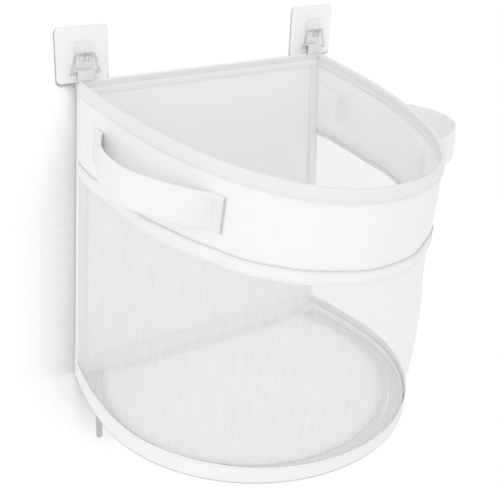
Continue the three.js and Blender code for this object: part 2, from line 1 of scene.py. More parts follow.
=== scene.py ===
import bpy
import bmesh
import mathutils
import numpy as np
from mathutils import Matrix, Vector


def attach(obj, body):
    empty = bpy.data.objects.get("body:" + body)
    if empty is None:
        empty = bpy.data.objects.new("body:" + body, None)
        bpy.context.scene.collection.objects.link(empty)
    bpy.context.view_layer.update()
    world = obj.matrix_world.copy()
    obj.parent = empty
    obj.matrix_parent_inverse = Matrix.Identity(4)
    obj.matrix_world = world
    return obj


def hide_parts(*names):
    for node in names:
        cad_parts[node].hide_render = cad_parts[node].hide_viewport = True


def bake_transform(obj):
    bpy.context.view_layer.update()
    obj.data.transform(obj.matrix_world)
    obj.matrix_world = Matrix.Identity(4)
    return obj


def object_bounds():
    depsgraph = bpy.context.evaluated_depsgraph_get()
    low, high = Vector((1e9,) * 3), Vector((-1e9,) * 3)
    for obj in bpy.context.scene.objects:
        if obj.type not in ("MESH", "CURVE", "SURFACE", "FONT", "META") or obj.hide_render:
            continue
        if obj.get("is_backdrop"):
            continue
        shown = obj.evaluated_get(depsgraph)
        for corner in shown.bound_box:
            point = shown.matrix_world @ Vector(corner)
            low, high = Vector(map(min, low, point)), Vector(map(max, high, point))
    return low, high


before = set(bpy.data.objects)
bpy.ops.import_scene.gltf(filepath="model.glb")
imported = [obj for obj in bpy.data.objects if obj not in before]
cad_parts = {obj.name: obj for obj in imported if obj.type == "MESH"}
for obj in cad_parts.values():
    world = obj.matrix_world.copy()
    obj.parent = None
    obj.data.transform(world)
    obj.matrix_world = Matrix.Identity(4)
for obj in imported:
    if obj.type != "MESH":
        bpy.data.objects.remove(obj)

cad_box = [list(corner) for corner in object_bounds()]

# Wall hooks: a square pad of clear plastic with a raised boss and a hook of two ribs, moulded in one go.
# A sheet of pale adhesive behind each pad holds it up. Moulded edges are rounded, and painted darker and less
# see-through as painted shade for the dark outlines of clear plastic.
SIDES = (("left", -1), ("right", 1))
PAD_EDGE = 0.0007
HOOK_EDGE = 0.0006
MERGE = 1e-6
FLAT_ANGLE = 0.01
SHARP_ANGLE = 0.5
GLUED_DEPTH = 1e-5
PLASTIC_TINT = (0.80, 0.805, 0.815, 1.0)
# The edge tint and the two edge hides below paint shade on the rounded edges, for the dark outlines of clear
# plastic.
EDGE_SHADE_TINT = (0.50, 0.505, 0.515, 1.0)
ADHESIVE_TINT = (0.985, 0.985, 0.985, 1.0)
PAD_HIDES, PAD_EDGE_SHADE_HIDES = 0.02, 0.07
HOOK_HIDES, HOOK_EDGE_SHADE_HIDES = 0.08, 0.36
ADHESIVE_HIDES = 1.5


class Shade:
    """A shader socket. Sums, differences and products of sockets and numbers add Math nodes."""

    def __init__(self, tree, socket=None):
        self.tree = tree
        self.socket = socket

    def feed(self, node, inputs):
        """Gives each named or numbered input of a node its value or its link."""
        for key, value in inputs.items():
            if isinstance(value, Shade):
                self.tree.links.new(value.socket, node.inputs[key])
            else:
                node.inputs[key].default_value = value

    def node(self, kind, settings=None, inputs=None, output=0):
        """Adds a node of any type: its settings first, then its sockets."""
        made = self.tree.nodes.new(kind)
        for key, value in (settings or {}).items():
            setattr(made, key, value)
        self.feed(made, inputs or {})
        return Shade(self.tree, made.outputs[output])

    def math(self, operation, *values):
        """Adds one Math node."""
        return self.node("ShaderNodeMath", {"operation": operation}, dict(enumerate(values)))

    def __add__(self, other):
        return self.math("ADD", self, other)

    def __sub__(self, other):
        return self.math("SUBTRACT", self, other)

    def __mul__(self, other):
        return self.math("MULTIPLY", self, other)

    def __radd__(self, other):
        return self.math("ADD", other, self)

    def __rsub__(self, other):
        return self.math("SUBTRACT", other, self)

    def __rmul__(self, other):
        return self.math("MULTIPLY", other, self)

    def __abs__(self):
        return self.math("ABSOLUTE", self)

    def sine(self):
        """The sine of this number."""
        return self.math("SINE", self)

    def step(self, low, high):
        """0 below low and 1 above high, with a smooth climb between them."""
        return self.node("ShaderNodeMapRange", {"interpolation_type": "SMOOTHSTEP"},
                         {"Value": self, "From Min": low, "From Max": high})

    def axes(self):
        """The three numbers of a vector."""
        return [self.node("ShaderNodeSeparateXYZ", {}, {0: self}, axis) for axis in range(3)]

    def noise(self, scale, detail=2.0):
        """Cloudy noise from 0 to 1 at a point."""
        return self.node("ShaderNodeTexNoise", {}, {"Vector": self, "Scale": scale, "Detail": detail})

    def bump(self, distance, strength):
        """A surface normal that follows this height."""
        return self.node("ShaderNodeBump", {}, {"Height": self, "Distance": distance, "Strength": strength})

    def blend(self, first, second):
        """A colour between two colours, by this share."""
        return self.node("ShaderNodeMix", {"data_type": "RGBA"}, {0: self, 6: first, 7: second}, 2)

    def place(self):
        """Where the surface is, in metres."""
        return self.node("ShaderNodeTexCoord", {}, {}, "Object")

    def lay(self):
        """Metres along and across a strip of cloth, from its own map."""
        return self.node("ShaderNodeUVMap", {"uv_map": "lay"})


def start_finish(name):
    """A new material, its empty shade and its main shader."""
    material = bpy.data.materials.new(name)
    material.use_nodes = True
    tree = material.node_tree
    return material, Shade(tree), tree.nodes["Principled BSDF"]


def finish_with(mesh, material):
    """Gives a mesh one finish all over."""
    mesh.materials.clear()
    mesh.materials.append(material)


def show(name, mesh, material, body):
    """Puts a mesh in the scene as a named piece that moves with a body, if one is given."""
    mesh.name = name
    finish_with(mesh, material)
    thing = bpy.data.objects.new(name, mesh)
    bpy.context.scene.collection.objects.link(thing)
    if body:
        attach(thing, body)
    return thing


def softened(node, name, finishes, body, edge, segments=3, glued=False):
    """A moulded or cast piece: a copy of its plain solid, merged, with the sharp edges rounded by a bevel.
    The second finish, if there is one, goes on the rounded edges.
    A glued piece has no face on its glued side."""
    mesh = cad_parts[node].data.copy()
    shape = bmesh.new()
    shape.from_mesh(mesh)
    bmesh.ops.remove_doubles(shape, verts=shape.verts, dist=MERGE)
    bmesh.ops.dissolve_limit(shape, angle_limit=FLAT_ANGLE, verts=shape.verts, edges=shape.edges)
    if glued:
        rear = max(point.co.y for point in shape.verts) - GLUED_DEPTH
        hidden = [face for face in shape.faces if min(point.co.y for point in face.verts) > rear]
        bmesh.ops.delete(shape, geom=hidden, context="FACES_ONLY")
    shape.to_mesh(mesh)
    shape.free()
    mesh.shade_smooth()
    thing = show(name, mesh, finishes[0], body)
    bevel = thing.modifiers.new("rounded edges", "BEVEL")
    bevel.width = edge
    bevel.segments = segments
    bevel.limit_method = "ANGLE"
    bevel.angle_limit = SHARP_ANGLE
    bevel.harden_normals = True
    if len(finishes) > 1:
        mesh.materials.append(finishes[1])
        bevel.material = 1
    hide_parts(node)


def clear_plastic(name, tint, hides):
    """Clear plastic: mostly see-through and glossy, with a faint flow pattern from the mould.
    Hides is the share of what lies behind that one face covers, and the flow varies it by 0.3 of that."""
    material, shade, shader = start_finish(name)
    flow = shade.place().noise(160.0)
    shade.feed(shader, {
        "Base Color": tint, "Alpha": hides * 0.7 + flow * (hides * 0.6), "IOR": 1.46,
        "Roughness": 0.08 + flow * 0.15, "Normal": flow.bump(0.0001, 0.25),
    })
    return material


# Painted shade: each clear plastic gets a second, darker and less see-through finish on its rounded edges, in
# place of the dark outlines that bent light gives.
pad_plastic = (clear_plastic("clear pad", PLASTIC_TINT, PAD_HIDES),
               clear_plastic("clear pad painted edge shade", EDGE_SHADE_TINT, PAD_EDGE_SHADE_HIDES))
plastic = (clear_plastic("clear plastic", PLASTIC_TINT, HOOK_HIDES),
           clear_plastic("clear plastic painted edge shade", EDGE_SHADE_TINT, HOOK_EDGE_SHADE_HIDES))
adhesive = clear_plastic("pale adhesive", ADHESIVE_TINT, ADHESIVE_HIDES)
for side, _ in SIDES:
    for node, name, finishes, edge in (("pad", "hook_pad", pad_plastic, PAD_EDGE),
                                       ("hook", "ribbed_hook", plastic, HOOK_EDGE)):
        softened(f"{side}_{node}", f"{side}_{name}", finishes, "wall_hooks", edge,
                 glued=True)
    finish_with(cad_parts[f"{side}_adhesive"].data, adhesive)

# Hanging rings: two moulded trapezoids of the same clear plastic, one on each hook.
# Their bars are rounded all over, so that the webbing and the hook can slide on them.
RING_EDGE = 0.0011
for side, _ in SIDES:
    softened(f"{side}_ring", f"{side}_hanging_ring", plastic, f"{side}_ring", RING_EDGE, 4)

# Ring tabs: short loops of pale grey polyester webbing, folded over the lower bar of each ring.
# The outer leg is sewn to the back of the bag, and the inner leg goes into the top binding.
HOOK_X = 0.143
BACK_Y = -0.008
MOUTH_Z = -0.0252
RING_BAR_Z = -0.0172
TAB_WIDTH = 0.018
TAB_LOOP = (0.0024, 0.0033)
TAB_TAIL = 0.016
TAB_FRONT = 0.0011
TAB_SEAM_IN = 0.002
TAB_SEAM_DROPS = (0.003, 0.0135)
TAB_STITCH_PITCH = 0.0028
RIB = 0.0013
TAPE_YARN = 0.0009
CREASE = 0.9
EDGE_ROUND = 0.45
WEBBING_TINT = ((0.77, 0.77, 0.77, 1.0), (0.84, 0.84, 0.84, 1.0))
THREAD_TINT = (0.90, 0.90, 0.90, 1.0)
THREAD = 0.00034
STITCH = 0.0026
STITCH_PITCH = 0.0034
STITCH_TAPER = 0.75
STITCH_RISE, STITCH_DIVE = 0.9, 1.3


def run_length(points):
    """Distance from the first point along a line of points."""
    steps = np.linalg.norm(np.diff(points, axis=0), axis=1)
    return np.concatenate([[0.0], np.cumsum(steps)])


def mesh_of(points, faces, lay=None):
    """A mesh of points and faces, with its map in metres. Its faces are turned round if the volume between
    them and the origin, summed over triangles, is negative, so that they point outwards."""
    corners = points[np.array([face[:3] for face in faces])]
    fans = [points[np.array([(face[0], face[-2], face[-1]) for face in faces if len(face) == 4])], corners]
    volume = sum(np.einsum("ij,ij->", fan[:, 0], np.cross(fan[:, 1], fan[:, 2])) for fan in fans)
    if volume < 0:
        faces = [face[::-1] for face in faces]
    mesh = bpy.data.meshes.new("piece")
    mesh.from_pydata(points.tolist(), [], faces)
    if lay is not None:
        corner_point = np.zeros(len(mesh.loops), np.int32)
        mesh.loops.foreach_get("vertex_index", corner_point)
        layer = mesh.uv_layers.new(name="lay")
        layer.uv.foreach_set("vector", lay[corner_point].astype(np.float32).ravel())
    mesh.shade_smooth()
    mesh.set_sharp_from_angle(angle=CREASE)
    return mesh


def quads_between(rows, columns, ring):
    """Quads of a grid of numbered points; a ring joins its last column to its first."""
    number = np.arange(rows * columns).reshape(rows, columns)
    beside = np.roll(number, -1, axis=1) if ring else number[:, 1:]
    number = number if ring else number[:, :-1]
    return np.stack([number[:-1], beside[:-1], beside[1:], number[1:]], -1).reshape(-1, 4)


def cloth_mesh(outer, inner):
    """A strip of cloth from two grids of points, its faces; rows run along it and columns across it.
    Each long edge has a middle line pushed out by half the thickness, and ladders of quads close the ends."""
    rows, columns = outer.shape[:2]

    def lip(edge, beside):
        """The line beyond a long edge: half way between the faces, pushed away from the next column."""
        middle = (outer[:, edge] + inner[:, edge]) / 2
        thick = np.linalg.norm(outer[:, edge] - inner[:, edge], axis=-1, keepdims=True)
        away = outer[:, edge] - outer[:, beside] + inner[:, edge] - inner[:, beside]
        return middle + away / np.linalg.norm(away, axis=-1, keepdims=True) * thick * EDGE_ROUND

    loop = np.concatenate([outer, lip(-1, -2)[:, None], inner[:, ::-1], lip(0, 1)[:, None]], axis=1)
    count = 2 * columns + 2
    step = np.arange(columns - 1)
    ladder = np.stack([step, step + 1, 2 * columns - 1 - step, 2 * columns - step], -1)
    last = (rows - 1) * count
    faces = quads_between(rows, count, True).tolist()
    faces += ladder[:, ::-1].tolist() + (ladder + last).tolist()
    for a, b, c in ((columns - 1, columns, columns + 1), (2 * columns, 2 * columns + 1, 0)):
        faces += [(c, b, a), (a + last, b + last, c + last)]
    along = run_length((outer[:, columns // 2] + inner[:, columns // 2]) / 2)
    across = run_length((outer[rows // 2] + inner[rows // 2]) / 2)
    across = np.concatenate([across, across[-1:], across[::-1], across[:1]])
    lay = np.stack(np.broadcast_arrays(along[:, None], across[None]), -1).reshape(-1, 2)
    return mesh_of(loop.reshape(-1, 3), faces, lay)


def stitch_row(path, outward, pitch=STITCH_PITCH):
    """Middles, directions and outward vectors of stitches spaced evenly along a path of points."""
    run = run_length(path)
    at = np.arange(pitch / 2, run[-1], pitch)
    pick = lambda values, where: np.stack([np.interp(where, run, values[:, axis]) for axis in range(3)], -1)
    ahead = pick(path, at + pitch / 4) - pick(path, at - pitch / 4)
    return pick(path, at), ahead, pick(np.broadcast_to(outward, path.shape), at)


def small_bars(points):
    """Many small bars in one mesh: each is five rings of six points with a cap at both ends."""
    first = (np.arange(len(points)) * 30)[:, None, None]
    faces = (quads_between(5, 6, True)[None] + first).reshape(-1, 4).tolist()
    caps = np.stack([np.arange(5, -1, -1), np.arange(24, 30)])
    faces += (caps[None] + first).reshape(-1, 6).tolist()
    return mesh_of(points.reshape(-1, 3), faces)


def thread_mesh(rows):
    """Stitches: each is a short round thread whose middle line is a parabola that dives at both ends,
    and whose thickness tapers like an ellipse."""
    middle, ahead, out = (np.concatenate(part)[:, None, None] for part in zip(*rows))
    unit = lambda vector: vector / np.linalg.norm(vector, axis=-1, keepdims=True)
    ahead = unit(ahead)
    out = unit(out - (out * ahead).sum(-1, keepdims=True) * ahead)
    beside = np.cross(out, ahead)
    share = np.linspace(-1, 1, 5)[:, None, None]
    turn = (np.arange(6) * np.pi / 3)[None, :, None]
    thick = THREAD * np.sqrt(1 - STITCH_TAPER * share ** 2)
    points = middle + ahead * share * STITCH / 2 + out * THREAD * (STITCH_RISE - STITCH_DIVE * share ** 2)
    return small_bars(points + thick * (np.cos(turn) * beside + np.sin(turn) * out))


def ribbed_tape(name, colours, rib):
    """Woven binding tape: fine ribs across its length, a soft sheen and cloudy small changes of tone."""
    material, shade, shader = start_finish(name)
    lay = shade.lay()
    along, across, _ = lay.axes()
    ribs = abs((along * (np.pi / rib)).sine())
    yarns = (across * (2 * np.pi / TAPE_YARN)).sine() * 0.5 + 0.5
    fuzz = lay.noise(900.0, 3.0)
    cloud = lay.noise(25.0)
    height = ribs * 0.7 + yarns * 0.25 + fuzz * 0.4
    shade.feed(shader, {
        "Base Color": (cloud * 0.45 + fuzz * 0.25 + ribs * 0.3).blend(*colours),
        "Roughness": 0.72 + fuzz * 0.22, "Normal": height.bump(0.00022, 0.7),
        "Sheen Weight": 0.12, "Sheen Roughness": 0.5, "Specular IOR Level": 0.3,
    })
    return material


def darker(tint, share):
    """A share of a tint's brightness."""
    return tuple(share * part for part in tint[:3]) + (1.0,)


def thread_finish():
    """Polyester sewing thread: pale, slightly glossy, with the twist of its plies."""
    material, shade, shader = start_finish("sewing thread")
    x, y, z = shade.place().axes()
    twist = ((x + y + z) * 9000.0).sine() * 0.5 + 0.5
    shade.feed(shader, {
        "Base Color": twist.blend(darker(THREAD_TINT, 0.9), THREAD_TINT),
        "Roughness": 0.5 + twist * 0.2, "Normal": twist.bump(0.00008, 0.6), "Sheen Weight": 0.1,
    })
    return material


webbing = ribbed_tape("grey webbing", WEBBING_TINT, RIB)
thread = thread_finish()
for side, sign in SIDES:
    arc = np.linspace(0, np.pi, 17)
    x = sign * HOOK_X + np.linspace(-TAB_WIDTH / 2, TAB_WIDTH / 2, 9)
    tail = np.linspace(MOUTH_Z - TAB_TAIL, RING_BAR_Z, 13)[:-1]
    front = np.linspace(RING_BAR_Z, MOUTH_Z + TAB_FRONT, 6)[1:]
    legs = []
    for radius in TAB_LOOP[::-1]:
        y = np.concatenate([np.full(12, radius), radius * np.cos(arc), np.full(5, -radius)]) + BACK_Y
        z = np.concatenate([tail, RING_BAR_Z + radius * np.sin(arc), front])
        legs.append(np.stack(np.broadcast_arrays(x[None], y[:, None], z[:, None]), -1))
    tab = show(f"{side}_webbing_tab", cloth_mesh(*legs), webbing, "bag")
    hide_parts(f"{side}_tab")
    half = TAB_WIDTH / 2 - TAB_SEAM_IN
    corner = lambda x, drop: (sign * HOOK_X + x, BACK_Y + TAB_LOOP[1], MOUTH_Z - drop)
    lines = [[corner(x, drop) for x in (-half, half)] for drop in TAB_SEAM_DROPS]
    lines += [[corner(x, drop) for drop in TAB_SEAM_DROPS] for x in (-half, half)]
    sewn = [stitch_row(np.array(line), (0, 1, 0), TAB_STITCH_PITCH) for line in lines]
    seam = show(f"{side}_tab_stitches", thread_mesh(sewn), thread, "bag")

# Back panel: one trapezoid of coated white fabric, wider at the floor than at the mouth.
# Its top edge is bound over a steel rod, its lower edge is hemmed, and tapes cover the two corner seams.
RIM_WIDTH = 0.300
RIM_TAPE = 0.014
FLOOR_TAPE = 0.020
BAG_HEIGHT = 0.345
FLOOR_WIDTH = 0.359
FLOOR_WIDEST = 0.1046
FLOOR_BACK = 0.291
FLOOR_HALF = FLOOR_WIDTH / 2 * np.sqrt(1 - (FLOOR_WIDEST / FLOOR_BACK) ** 2)
FABRIC = 0.002
YARN = 0.0011
FABRIC_THROUGH = 0.45
TAPE_IN, TAPE_OUT = 0.0013, 0.0021
WIRE_TUNNEL = 0.004
SIDE_TAPE = 0.012
SEWN_GAP = 0.0003
STITCH_IN = 0.0024
SEAM_REACH = 0.985
# The next two sizes place a strip of painted shade on the tapes' inner legs, below the fold.
FOLD_RUN = 0.0045
FOLD_SHADE_WIDTH = 0.0065
TONE_FADE = 0.0004
ALONG, ACROSS = 0, 1
BACK_WAVES = ((0.0016, 17, 9, 0), (0.0008, 44, -21, 1))
FABRIC_TINT = ((0.91, 0.91, 0.91, 1.0), (0.95, 0.95, 0.948, 1.0))
TAPE_TINT = ((0.92, 0.92, 0.92, 1.0), (0.955, 0.955, 0.955, 1.0))
# A tint of painted shade for the tapes' inner legs below the fold.
FOLD_SHADE_TINT = (0.84, 0.84, 0.84, 1.0)
STEEL_TINT = (0.72, 0.73, 0.74, 1.0)


def back_half(drop):
    """Half the back panel's width at a depth below the mouth, from a straight line to the floor's."""
    return RIM_WIDTH / 2 + (FLOOR_HALF - RIM_WIDTH / 2) * drop / BAG_HEIGHT + TAPE_OUT


def back_sway(x, drop):
    """How far the back cloth stands off its plane: two slow waves that end at the corners and the hems.
    Each wave has a height, turns across, turns down and a start."""
    still = np.cos(np.pi / 2 * np.clip(x / back_half(drop), -1, 1))
    still = still * np.sin(np.pi * np.clip(drop / BAG_HEIGHT, 0, 1))
    return still * sum(height * np.sin(across * x + down * drop + start)
                       for height, across, down, start in BACK_WAVES)


def back_strip(xs, drops, offset):
    """Points of a strip on the back panel; xs are shares of its half width and offset goes to its outside."""
    drops, offset = np.broadcast_arrays(drops, offset)
    x = xs[:, None] * back_half(drops)[None]
    y = BACK_Y + offset[None] + back_sway(x, drops[None])
    return np.stack(np.broadcast_arrays(x, y, MOUTH_Z - drops[None]), -1)


def fold(radius, centre, first_leg, second_leg, direction):
    """A tape's course over an edge, as offsets and drops: a leg, a half circle about centre, another leg."""
    arc = np.linspace(0, np.pi, 13)
    first = centre + direction * np.linspace(first_leg, 0, 8)[:-1]
    second = centre + direction * np.linspace(0, second_leg, 8)[1:]
    offset = np.concatenate([np.full(7, radius), radius * np.cos(arc), np.full(7, -radius)])
    return offset, np.concatenate([first, centre - direction * radius * np.sin(arc), second])


def woven_fabric(name, colours, through):
    """Plain woven polyester: yarns over and under each other, small slubs, and a soft cloudy tone.
    Through is the share of light that goes into the cloth and can come out at its other face."""
    material, shade, shader = start_finish(name)
    lay = shade.lay()
    along, across, _ = lay.axes()
    weave = (along * (np.pi / YARN)).sine() * (across * (np.pi / YARN)).sine()
    slub = lay.noise(700.0, 3.0)
    cloud = lay.noise(11.0)
    shade.feed(shader, {
        "Base Color": (cloud * 0.4 + slub * 0.3 + abs(weave) * 0.3).blend(*colours),
        "Roughness": 0.7 + slub * 0.25,
        "Normal": (abs(weave) * 0.6 + slub * 0.6).bump(0.0002, 0.6),
        "Sheen Weight": 0.1, "Sheen Roughness": 0.5, "Specular IOR Level": 0.3,
        "Subsurface Weight": through, "Subsurface Scale": 0.004, "Subsurface Radius": (1.0, 1.0, 1.0),
    })
    return material


def paint_shade_strip(material, direction, low, high, tint):
    """Paints shade into a cloth finish: blends a tint in between two distances along it or across it."""
    shade = Shade(material.node_tree)
    shader = material.node_tree.nodes["Principled BSDF"]
    tone = Shade(material.node_tree, shader.inputs["Base Color"].links[0].from_socket)
    place = shade.lay().axes()[direction]
    painted_shade_mask = place.step(low, low + TONE_FADE) * (1 - place.step(high - TONE_FADE, high))
    shade.feed(shader, {"Base Color": painted_shade_mask.blend(tone, tint)})
    return material


def nickel(name, tint):
    """Nickel plate: satin, with fine scratches and a slightly uneven polish."""
    material, shade, shader = start_finish(name)
    place = shade.place()
    polish = place.noise(300.0, 4.0)
    scratch = place.noise(2500.0, 2.0)
    shade.feed(shader, {
        "Base Color": polish.blend(darker(tint, 0.88), tint),
        "Metallic": 1.0, "Roughness": 0.2 + polish * 0.2, "Normal": scratch.bump(0.00004, 0.3),
    })
    return material


fabric = woven_fabric("white fabric", FABRIC_TINT, FABRIC_THROUGH)
tape = ribbed_tape("binding tape", TAPE_TINT, RIB)
rim_leg = RIM_TAPE - TAPE_IN
# Painted shade: a darker strip on the tape's inner leg just below its fold, where the fold shades it.
fold_shade = (ACROSS, rim_leg + FOLD_RUN, rim_leg + FOLD_RUN + FOLD_SHADE_WIDTH, FOLD_SHADE_TINT)
top_finish = paint_shade_strip(ribbed_tape("top tape", TAPE_TINT, RIB), *fold_shade)
steel = nickel("nickel on steel", STEEL_TINT)
finish_with(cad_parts["back_rod"].data, steel)

whole = np.linspace(-1, 1, 121)
panel_drops = np.linspace(WIRE_TUNNEL, BAG_HEIGHT, 69)
panel_faces = [back_strip(whole, panel_drops, offset) for offset in (FABRIC / 2, -FABRIC / 2)]
panel = show("back_panel_cloth", cloth_mesh(*panel_faces), fabric, "bag")
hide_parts("back_panel")

top_folds = []
hem_folds = []
for radius in (TAPE_OUT, TAPE_IN):
    offset, drop = fold(radius, TAPE_IN, rim_leg, rim_leg, 1)
    top_folds.append(back_strip(whole * back_half(0.0) / back_half(RIM_TAPE), drop, offset))
    hem_leg = FLOOR_TAPE - TAPE_IN
    offset, drop = fold(radius, BAG_HEIGHT - TAPE_IN + SEWN_GAP, hem_leg, hem_leg, -1)
    hem_folds.append(back_strip(whole, drop, offset))
top_tape = show("back_top_tape", cloth_mesh(*top_folds), top_finish, "bag")
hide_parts("back_top_binding")
hem = show("back_hem_tape", cloth_mesh(*hem_folds), tape, "bag")
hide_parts("back_hem")

seams = []
for toward in (-1, 1):
    for drop in (RIM_TAPE - STITCH_IN, BAG_HEIGHT - FLOOR_TAPE + STITCH_IN):
        line = back_strip(whole * SEAM_REACH, np.array([drop]), np.array([toward * TAPE_OUT]))[:, 0]
        seams.append(stitch_row(line, (0, toward, 0)))

for side, sign in SIDES:
    drops = np.linspace(RIM_TAPE + SEWN_GAP, BAG_HEIGHT - FLOOR_TAPE, 61)[:, None]
    x = sign * (back_half(drops) - np.linspace(SIDE_TAPE, 0, 7)[None])
    faces = []
    for offset in (-TAPE_IN, -TAPE_OUT):
        y = BACK_Y + offset + back_sway(x, drops)
        faces.append(np.stack(np.broadcast_arrays(x, y, MOUTH_Z - drops), -1))
    corner_tape = show(f"{side}_corner_tape", cloth_mesh(*faces), tape, "bag")
    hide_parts(f"{side}_side_tape")
    seams += [stitch_row(faces[1][:, column], (0, -1, 0)) for column in (1, 5)]
back_seams = show("back_stitches", thread_mesh(seams), thread, "bag")

# Mouth band: a strip of the same white fabric that stands round the D-shaped mouth, higher at the back.
# A spring steel wire in the tape bound over its upper edge holds the mouth open.
RIM_DEPTH = 0.318
RIM_ROUNDNESS = 2.3
RIM_FALL = 0.025
RIM_TINT = ((0.86, 0.86, 0.86, 1.0), (0.90, 0.90, 0.90, 1.0))
FLOOR_FRONT = 0.177
MOUTH_Y = -0.0104
BAND_END = 0.092
BAND_ROWS, BAND_COLUMNS = 501, 45
WAIST_DROP = 0.100
NET_END = 0.325
WALL_LENGTH = 0.772
PLAN_POINTS = 1441
SHARE_STEP, DROP_STEP = 1 / 700, 0.001
SEAM_ENDS, SEAM_POINTS = (0.004, 0.996), 600
WAVES = ((0.0012, 6.3, 7, 0.0), (0.0006, 13.7, -12, 1.3))
CALM_MOUTH, CALM_FLOOR, CALM_CORNER = 0.05, 0.08, 0.054
BELLY = 0.004
GATHERS, GATHER_DEPTH = 38, 0.00035
GATHER_IN, GATHER_RUN = 0.01, 0.02
PULL_CORNER = (0.040, 0.034)
PULL_REACH = 0.018
PULL_DEPTH = 0.0022
PULL_FOLDS, PULL_START = 5, 0.6
PULL_ABOVE, PULL_FADE = 0.003, 0.008
PULL_SIDE_FADE = 0.014
PULL_END, PULL_END_FADE = 0.083, 0.016


def even_run(plan):
    """The share of a plan outline's length at each of its points, and the outline."""
    run = run_length(plan)
    return run / run[-1], plan


half_turn = np.linspace(0, np.pi, PLAN_POINTS)
sweep = 2 / RIM_ROUNDNESS
rim_plan = even_run(np.stack([
    np.sign(np.cos(half_turn)) * np.abs(np.cos(half_turn)) ** sweep * RIM_WIDTH / 2,
    MOUTH_Y - np.abs(np.sin(half_turn)) ** sweep * RIM_DEPTH], -1))
corner_turn = np.arcsin(FLOOR_WIDEST / FLOOR_BACK)
floor_turn = np.linspace(corner_turn, -np.pi - corner_turn, PLAN_POINTS)
floor_reach = np.where((floor_turn > 0) | (floor_turn < -np.pi), FLOOR_BACK, FLOOR_FRONT)
floor_plan = even_run(np.stack([
    FLOOR_WIDTH / 2 * np.cos(floor_turn), MOUTH_Y - FLOOR_WIDEST + floor_reach * np.sin(floor_turn)], -1))


def smooth(value):
    """A smooth climb from 0 to 1: three squares less two cubes."""
    value = np.clip(value, 0, 1)
    return value * value * (3 - 2 * value)


def plain_wall(share, drop):
    """The wall without its sway: straight lines from the mouth's outline, which is half a squared-off oval,
    to the floor's, which is half an ellipse in front and the middle of a slimmer one behind its widest line.
    Share goes round from the right back corner to the left one, and the mouth falls towards the front."""
    pick = lambda plan, axis: np.interp(share, plan[0], plan[1][:, axis])
    fall = drop / BAG_HEIGHT
    rim_x, rim_y = pick(rim_plan, 0), pick(rim_plan, 1)
    x = rim_x + (pick(floor_plan, 0) - rim_x) * fall
    y = rim_y + (pick(floor_plan, 1) - rim_y) * fall
    z = MOUTH_Z - RIM_FALL * (MOUTH_Y - rim_y) / RIM_DEPTH * (1 - fall) - drop
    return np.stack([x, y, z], -1)


def sway(share, drop):
    """How far the cloth stands off the plain wall: slow waves round the bag, a fuller belly in the net,
    small gathers along the net's two seams, and folds where each strap pulls. The folds are a sine of the
    angle about the strap's rear corner, and grow and die with the distance from it.
    The rest dies out at the back corners. Each wave has a height, turns round, turns down and a start."""
    round_bag = 2 * np.pi * share
    waves = sum(height * np.sin(turns * round_bag + down * drop + start)
                for height, turns, down, start in WAVES)
    waves = waves * smooth(drop / CALM_MOUTH) * smooth((BAG_HEIGHT - drop) / CALM_FLOOR)
    full = np.sin(np.pi * np.clip((drop - WAIST_DROP) / (NET_END - WAIST_DROP), 0, 1)) ** 2
    gather = sum(np.exp(-((drop - seam) / GATHER_RUN) ** 2)
                 for seam in (WAIST_DROP + GATHER_IN, NET_END - GATHER_IN))
    gather = gather * smooth((drop - WAIST_DROP) / GATHER_IN) * smooth((NET_END - drop) / GATHER_IN)
    pleats = GATHER_DEPTH * gather * np.sin(GATHERS * round_bag)
    from_corner = WALL_LENGTH * np.minimum(share, 1 - share)
    behind, below = PULL_CORNER[0] - from_corner, drop - PULL_CORNER[1]
    far = np.hypot(behind, below) / PULL_REACH
    pull = PULL_DEPTH * far * np.exp(1 - far) * np.sin(PULL_FOLDS * np.arctan2(below, behind) + PULL_START)
    pull = pull * smooth(behind / PULL_FADE) * smooth((below + PULL_ABOVE) / PULL_FADE)
    pull = pull * smooth(from_corner / PULL_SIDE_FADE) * smooth((PULL_END - drop) / PULL_END_FADE)
    return smooth(from_corner / CALM_CORNER) * (waves + BELLY * full + pleats) + pull


def bag_wall(share, drop, offset=0.0):
    """Points of the bag's wall, moved outwards along its normal by offset and by the sway.
    At the two back corners the move stays in the plane of the back."""
    share, drop, offset = np.broadcast_arrays(share, drop, offset)
    ahead, behind = np.minimum(share + SHARE_STEP, 1), np.maximum(share - SHARE_STEP, 0)
    along = plain_wall(ahead, drop) - plain_wall(behind, drop)
    down = plain_wall(share, drop + DROP_STEP) - plain_wall(share, drop)
    normal = np.cross(along, down)
    normal /= np.linalg.norm(normal, axis=-1, keepdims=True)
    corner = (share <= 0) | (share >= 1)
    normal[corner, 1] = 0
    normal[corner] /= (normal[corner] ** 2).sum(-1, keepdims=True)
    return plain_wall(share, drop) + normal * (offset + sway(share, drop))[..., None]


def wall_strip(offset, drop, rows=301):
    """A strip that goes round the whole bag; offsets and drops give its course across."""
    return bag_wall(np.linspace(0, 1, rows)[:, None], np.asarray(drop)[None], np.asarray(offset)[None])


def wall_stitches(drop, offset):
    """One row of stitches round the bag, on the side of the wall that offset lies on."""
    share = np.linspace(*SEAM_ENDS, SEAM_POINTS)
    path = bag_wall(share, drop, offset)
    return stitch_row(path, bag_wall(share, drop, 2 * offset) - path)


band_drops = np.linspace(WIRE_TUNNEL, BAND_END, BAND_COLUMNS)
band_faces = [wall_strip(offset, band_drops, BAND_ROWS) for offset in (FABRIC / 2, -FABRIC / 2)]
band = show("mouth_band", cloth_mesh(*band_faces), fabric, "bag")
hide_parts("band")
